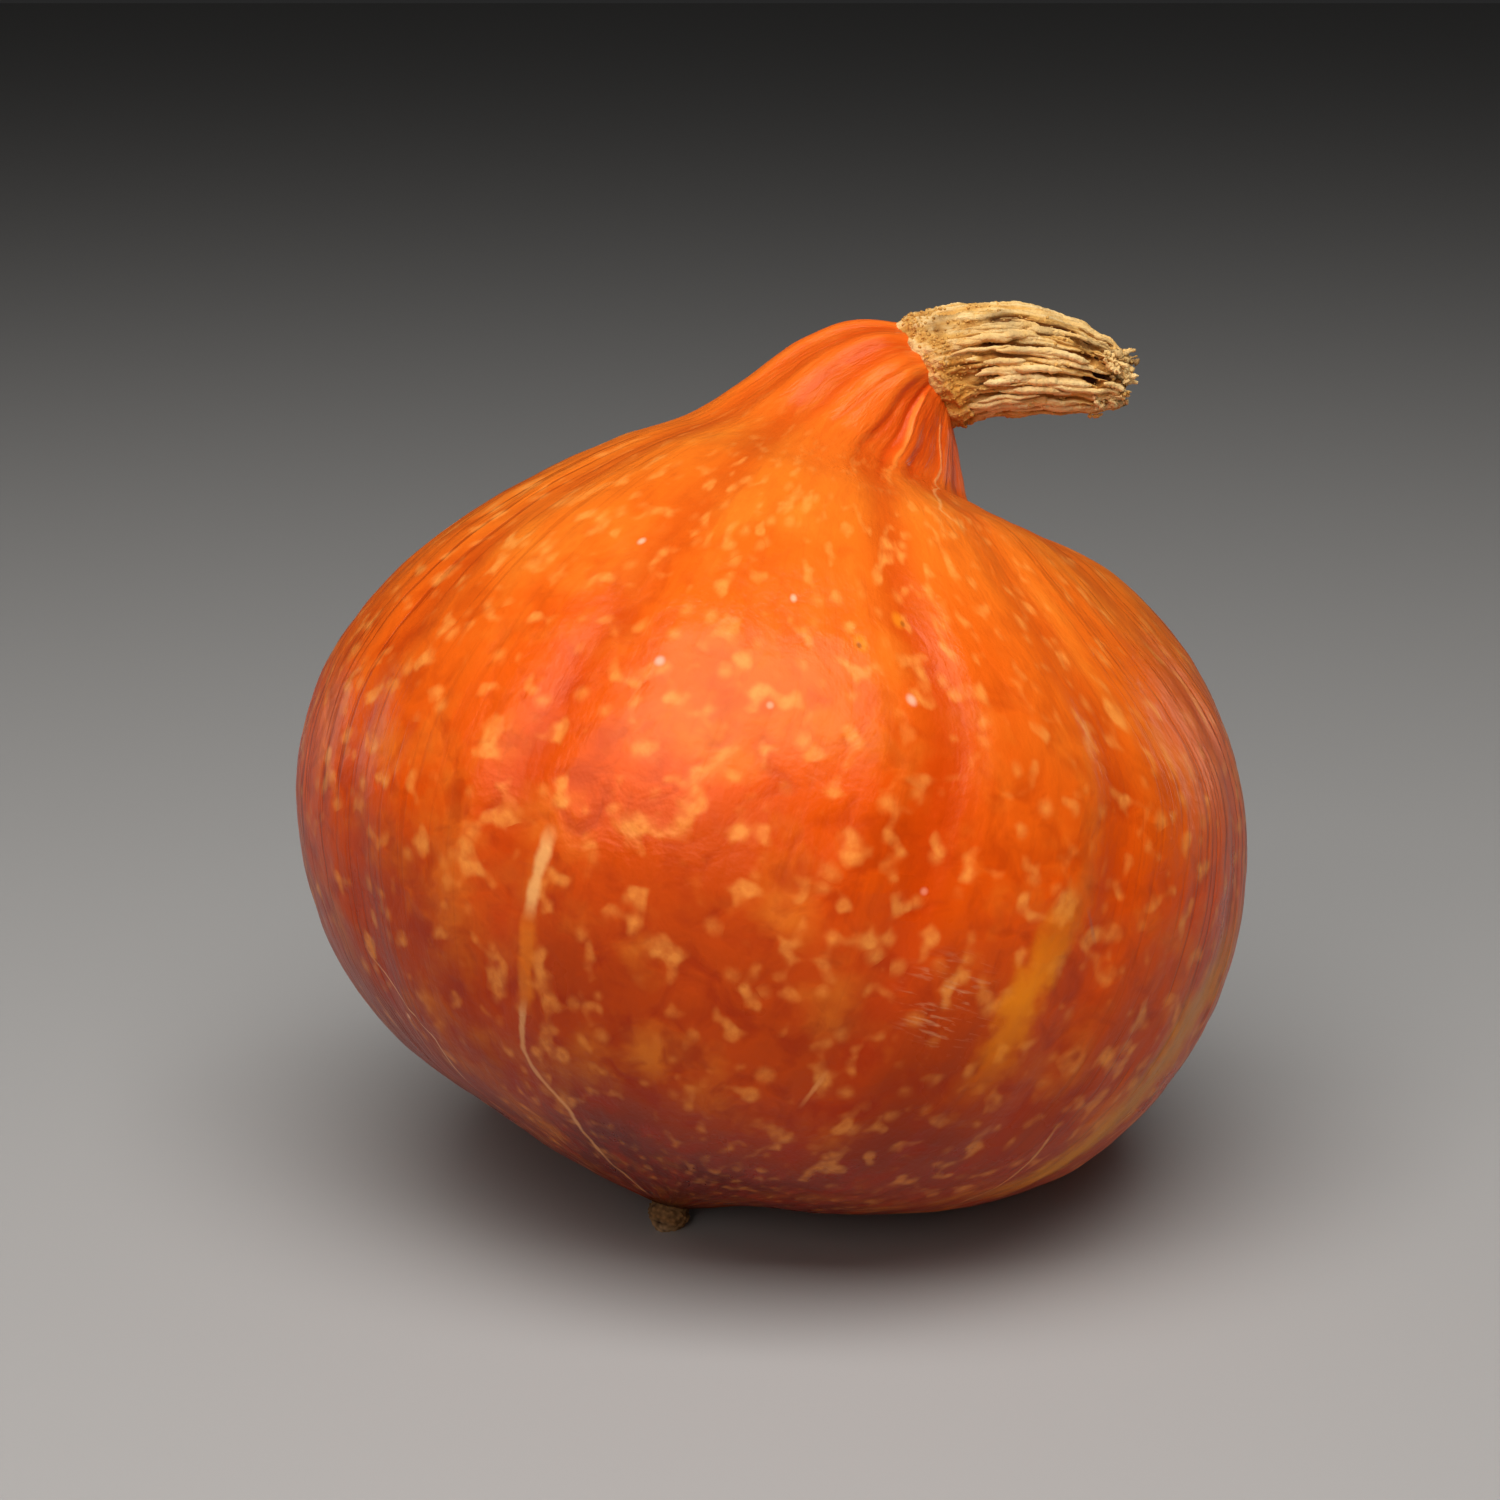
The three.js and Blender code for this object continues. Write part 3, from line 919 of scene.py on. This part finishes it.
# Strands that lie along the stem, and fibres that stick out of its torn end. Shares are of the
# stem's length, and the rise is a share of its girth there.
strands = {
    "count": 130,
    "steps": 30,
    "firstShare": 0.12,
    "lastShare": 0.64,
    "shortest": 0.16,
    "longest": 0.4,
    "thinnest": 0.35 * mm,
    "thickest": 0.85 * mm,
    "lowRise": 0.9,
    "highRise": 0.975,
    "wander": 0.26,
    "curl": 0.4 * mm,
    "ragged": 0.8,
    "tip": 0.25,
    "seed": 4,
}
fibres = {
    "count": 150,
    "steps": 14,
    "firstShare": 0.86,
    "lastShare": 0.97,
    "shortest": 0.03,
    "longest": 0.075,
    "thinnest": 0.2 * mm,
    "thickest": 0.6 * mm,
    "lowRise": 0.45,
    "highRise": 1.05,
    "wander": 0.9,
    "curl": 9 * mm,
    "ragged": 4.5,
    "tip": 0.75,
    "seed": 9,
}


def makeStrands(name, sizes, material, side):
    tree, size = newTree(name, sizes)
    seeds = iter(range(1, 20))

    def draw(low, high):
        inputs = {2: low, 3: high, "Seed": maths(tree, "ADD", size["seed"], next(seeds) * 31)}
        return addNode(tree, "FunctionNodeRandomValue", data_type="FLOAT", inputs=inputs)

    line = addNode(tree, "GeometryNodeMeshLine", size["steps"], mode="OFFSET")
    lastStep = maths(tree, "SUBTRACT", size["steps"], 1.0)
    step = maths(tree, "DIVIDE", addNode(tree, "GeometryNodeInputIndex"), lastStep)
    geometry = store(tree, line, "step", step)
    points = addNode(tree, "GeometryNodePoints", size["count"])
    geometry = addNode(tree, "GeometryNodeInstanceOnPoints", points, inputs={"Instance": geometry})
    draws = {
        "turn": draw(0.0, 2 * math.pi),
        "begin": draw(size["firstShare"], size["lastShare"]),
        "reach": draw(size["shortest"], size["longest"]),
        "thick": draw(size["thinnest"], size["thickest"]),
        "rise": draw(size["lowRise"], size["highRise"]),
    }
    for label, value in draws.items():
        geometry = store(tree, geometry, label, value, domain="INSTANCE")
    geometry = addNode(tree, "GeometryNodeRealizeInstances", geometry)
    geometry = addNode(tree, "GeometryNodeMeshToCurve", geometry)
    field = {label: addNode(tree, "GeometryNodeInputNamedAttribute", label) for label in [*draws, "step"]}

    # Each point goes to its share of the stem's own curve, and past its end it runs straight on.
    share = maths(tree, "MULTIPLY_ADD", field["step"], field["reach"], field["begin"])
    girth = addNode(tree, "GeometryNodeInputRadius")
    axis = addNode(tree, "GeometryNodeSampleCurve", size[0], girth, mode="FACTOR", inputs={"Factor": share})
    beyond = maths(tree, "MAXIMUM", maths(tree, "SUBTRACT", share, 1.0), 0.0)
    spot = combine(tree, share, field["turn"], field["begin"])
    sway = drift(tree, spot, 1 / 6, 2.0)
    angle = maths(tree, "MULTIPLY_ADD", split(tree, sway)[0], size["wander"], field["turn"])
    cosine = maths(tree, "COSINE", angle)
    sine = maths(tree, "SINE", angle)
    tangent = axis.outputs["Tangent"]
    across = vectorMaths(tree, "CROSS_PRODUCT", side, tangent)
    outwards = vectorMaths(tree, "ADD", scaled(tree, across, cosine), scaled(tree, side, sine))
    sunk = remap(tree, cosine, -0.9, -0.3, 0.87, 1.0)
    moves = [
        scaled(tree, outwards, product(tree, axis.outputs[0], field["rise"], sunk)),
        scaled(tree, tangent, product(tree, beyond, stemLength)),
        scaled(tree, sway, product(tree, field["step"], size["curl"])),
    ]
    where = axis.outputs["Position"]
    for move in moves:
        where = vectorMaths(tree, "ADD", where, move)
    geometry = addNode(tree, "GeometryNodeSetPosition", geometry, inputs={"Position": where})

    # Round in section, and thinner towards both ends.
    hump = product(tree, field["step"], maths(tree, "SUBTRACT", 1.0, field["step"]))
    taper = remap(tree, hump, 0.0, 0.16, size["tip"], 1.0)
    rough = maths(tree, "SUBTRACT", noise(tree, spot, 1 / 60, 2.0), 0.5)
    uneven = maths(tree, "MAXIMUM", maths(tree, "MULTIPLY_ADD", rough, size["ragged"], 1.0), 0.35)
    thick = product(tree, taper, uneven, field["thick"])
    around = [product(tree, part, stemRadius) for part in (cosine, sine)]
    grain = combine(tree, *around, product(tree, share, stemLength))
    geometry = store(tree, geometry, "grain", grain, data_type="FLOAT_VECTOR")
    profile = addNode(tree, "GeometryNodeCurvePrimitiveCircle", inputs={"Resolution": 5, "Radius": 1.0})
    inputs = {"Scale": thick, "Fill Caps": True}
    geometry = addNode(tree, "GeometryNodeCurveToMesh", geometry, profile, inputs=inputs)
    # Each strand takes a tone from the light end of the cork's colour, partly painted highlight.
    tone = remap(tree, field["turn"], 0.0, 2 * math.pi, 0.72, 0.95)
    return endTree(tree, store(tree, geometry, "raised", tone), material)


# The stem's own curve, with its girth as the radius of each point.
def stemCurve(name, placing):
    data = bpy.data.curves.new(name, "CURVE")
    data.dimensions = "3D"
    spline = data.splines.new("POLY")
    shares = np.linspace(0, 1, 60)
    spline.points.add(len(shares) - 1)
    for point, share in zip(spline.points, shares):
        point.co = (*(placing @ Vector(stemAxis(share)[0]) * mm), 1)
        point.radius = stemGirth(share) * mm
    return addPiece(name, data)


# Crumbs of cork crowded on the collar.
crumbs = {
    "perArea": 1300000.0,
    "smallest": 0.15 * mm,
    "largest": 0.38 * mm,
    "collarStart": 1 * mm,
    "collarEnd": 9 * mm,
    "elsewhere": 0.16,
    "roughSize": 1.11111 * mm,
    "roughReach": 0.7 * mm,
    "seed": 5,
}


def makeCrumbs(material):
    tree, size = newTree("corkCrumbs", crumbs)
    height = split(tree, meshField(tree, "grain"))["Z"]
    crowd = remap(tree, height, size["collarEnd"], size["collarStart"], size["elsewhere"], 1.0)
    margin = remap(tree, height, 0.0, size["collarStart"], 0.0, size["perArea"])
    inputs = {"Density": product(tree, crowd, margin), "Seed": size["seed"]}
    points = addNode(tree, "GeometryNodeDistributePointsOnFaces", size[0], inputs=inputs)
    ball = addNode(tree, "GeometryNodeMeshIcoSphere", inputs={"Radius": 1.0, "Subdivisions": 1})
    inputs = {2: size["smallest"], 3: size["largest"], "Seed": size["seed"]}
    scale = addNode(tree, "FunctionNodeRandomValue", data_type="FLOAT", inputs=inputs)
    placed = addNode(tree, "GeometryNodeInstanceOnPoints", points, inputs={"Instance": ball, "Scale": scale})
    whole = addNode(tree, "GeometryNodeRealizeInstances", placed)
    place = addNode(tree, "GeometryNodeInputPosition")
    offset = scaled(tree, drift(tree, place, size["roughSize"], 2.0), size["roughReach"])
    rough = addNode(tree, "GeometryNodeSetPosition", whole, inputs={"Offset": offset})
    smooth = addNode(tree, "GeometryNodeSetShadeSmooth", rough)
    return endTree(tree, store(tree, smooth, "raised", 0.72), material)


def dressStem():
    cork = makeCork()
    placing = stemFrame()
    side = tuple(placing.to_3x3().col[1])
    core = applyTree(buildStem(), makeCorkRelief(cork), corkRelief)
    copy = addPiece("stem_crumbs", core.data.copy())
    pieces = [core, applyTree(copy, makeCrumbs(cork), crumbs)]
    for name, sizes in (("stem_strands", strands), ("stem_fibres", fibres)):
        tree = makeStrands(name, sizes, cork, side)
        pieces.append(applyTree(stemCurve(name, placing), tree, sizes))
    for piece in pieces:
        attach(piece, "root")
        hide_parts("stem")
        print(piece.name, len(piece.data.polygons), "faces")


dressStem()
print("stem built")


# What the flower left: a small dried button of dark cork, darker still in the pits of its crust as painted
# shade, with a paler torn tip. Sizes are in mm, and the outline gives [share of the height, share of the
# radius].
blossomEnd = {
    "radius": 3.7,
    "height": 5.4,
    "sunk": 0.8,
    "outline": [(0, 0.88), (0.12, 1), (0.3, 1), (0.5, 0.84), (0.75, 0.52), (1, 0.2)],
    "lobes": 5,
    "lobeDepth": 0.07,
    "around": 120,
    "along": 60,
}
# In metres.
scarRelief = {
    "crustSize": 0.9 * mm,
    "crustHeight": 0.7 * mm,
    "grainSize": 0.32 * mm,
    "grainHeight": 0.16 * mm,
}
scarLook = {
    "darkAndPitShadeColour": "#2c190c",
    "midColour": "#a87a48",
    "tipColour": "#e2c294",
    "roughness": 0.92,
    "gloss": 0.2,
}


def buildBlossomEnd():
    angle = np.arange(blossomEnd["around"]) * 2 * math.pi / blossomEnd["around"]
    heights, shares = zip(*blossomEnd["outline"])
    rings, crusts = [], []
    for height in np.linspace(0, 1, blossomEnd["along"] + 1):
        lobed = blossomEnd["lobeDepth"] * np.cos(blossomEnd["lobes"] * angle + 1.5 * height) * height
        radius = blossomEnd["radius"] * (np.interp(height, heights, shares) + lobed)
        level = np.full_like(angle, -height * blossomEnd["height"])
        rings.append(np.stack([radius * np.cos(angle), radius * np.sin(angle), level], 1))
        crusts.append(np.full_like(angle, height))
    rings = [rings[0] + np.array((0, 0, blossomEnd["sunk"])), *rings]
    rings = [(ring @ np.array(leaning).T + fruitOffset)[::-1] for ring in rings]
    fields = {"dried": [crusts[0], *crusts]}
    return skinOver("blossom_scar", rings, rings[0].mean(axis=0), rings[-1].mean(axis=0), fields)


def makeScarRelief(material):
    tree, size = newTree("scarRelief", scarRelief)
    place = addNode(tree, "GeometryNodeInputPosition")
    height = 0.0
    for name in ("crust", "grain"):
        bumps = cells(tree, place, size[name + "Size"], "SMOOTH_F1").outputs["Distance"]
        centred = maths(tree, "SUBTRACT", 0.45, bumps)
        height = maths(tree, "MULTIPLY_ADD", centred, size[name + "Height"], height)
    # The crust's height is kept for the colour, which paints shade into its pits.
    light = remap(tree, height, -0.3 * mm, 0.3 * mm, 0.0, 1.0)
    kept = store(tree, size[0], "raised", light)
    return endTree(tree, restOnFloor(tree, swell(tree, kept, height)), material)


def makeScar():
    material, tree, skin = newMaterial("driedBlossomCork")
    raised = shaderField(tree, "raised", "Fac")
    # Darker in the crust's pits, as painted shade, and paler where the crust stands up.
    colour = blend(tree, raised, linear(scarLook["darkAndPitShadeColour"]), scarLook["midColour"])
    tip = remap(tree, shaderField(tree, "dried", "Fac"), 0.4, 0.95, 0.0, 0.8)
    fill(tree, skin, {
        "Base Color": blend(tree, product(tree, tip, raised), colour, scarLook["tipColour"]),
        "Roughness": scarLook["roughness"],
        "Specular IOR Level": scarLook["gloss"],
    })
    return material


scar = applyTree(buildBlossomEnd(), makeScarRelief(makeScar()), scarRelief)
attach(scar, "root")
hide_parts("blossom_end")
print("blossom end built")


# The studio: a pale floor, and soft boxes that look at the fruit at a height. A box only shines in
# the wax and leaves the floor as it is, unless it lights everything.
studio = {
    "floorReach": 4,
    "floorColour": "#aeaca9",
    "floorRoughness": 0.8,
    "airColour": (0.8, 0.8, 0.8, 1),
    "airStrength": 0.025,
}
softBoxes = {
    "overhead": {
        "place": (-0.05, -0.5, 0.95), "aim": 0.1, "width": 0.95, "height": 0.75,
        "power": 13, "colour": "#ffffff", "lightsAll": True,
    },
    "front": {
        "place": (-0.22, -1.1, 0.52), "aim": 0.08, "width": 0.62, "height": 0.46,
        "power": 2.2, "colour": "#fff1ea", "lightsAll": True,
    },
    "window": {
        "place": (-0.54, -0.66, 0.63), "aim": 0.09, "width": 0.8, "height": 0.72,
        "power": 7.6, "colour": "#fff1ea", "lightsAll": False,
    },
    "leftStrip": {
        "place": (-0.74, 0.48, 0.12), "aim": 0.09, "width": 0.3, "height": 0.22,
        "power": 0.3, "colour": "#fff6f0", "lightsAll": False,
    },
    "rightStrip": {
        "place": (0.74, 0.5, 0.17), "aim": 0.09, "width": 0.3, "height": 0.3,
        "power": 0.6, "colour": "#ffdcc8", "lightsAll": False,
    },
}


def addStudio():
    reach = studio["floorReach"]
    corners = [(-reach, -reach, 0), (reach, -reach, 0), (reach, reach, 0), (-reach, reach, 0)]
    floorMesh = bpy.data.meshes.new("floor")
    floorMesh.from_pydata(corners, [], [(0, 1, 2, 3)])
    floor = addPiece("floor", floorMesh)
    paper, tree, skin = newMaterial("palePaper")
    fill(tree, skin, {"Base Color": linear(studio["floorColour"]), "Roughness": studio["floorRoughness"]})
    floorMesh.materials.append(paper)
    world = bpy.data.worlds.new("studio")
    world.use_nodes = True
    air = world.node_tree.nodes["Background"]
    fill(world.node_tree, air, {"Color": studio["airColour"], "Strength": studio["airStrength"]})
    bpy.context.scene.world = world
    bpy.context.scene.view_settings.view_transform = "Standard"


def addSoftBox(name, box):
    data = bpy.data.lights.new(name, "AREA")
    data.shape = "RECTANGLE"
    data.size, data.size_y = box["width"], box["height"]
    data.energy = box["power"]
    data.color = linear(box["colour"])[:3]
    lamp = addPiece(name, data)
    lamp.visible_diffuse = box["lightsAll"]
    facing = Vector((0, 0, box["aim"])) - Vector(box["place"])
    turn = facing.to_track_quat("-Z", "Y").to_matrix().to_4x4()
    lamp.matrix_world = Matrix.Translation(box["place"]) @ turn


addStudio()
for name, box in softBoxes.items():
    addSoftBox(name, box)
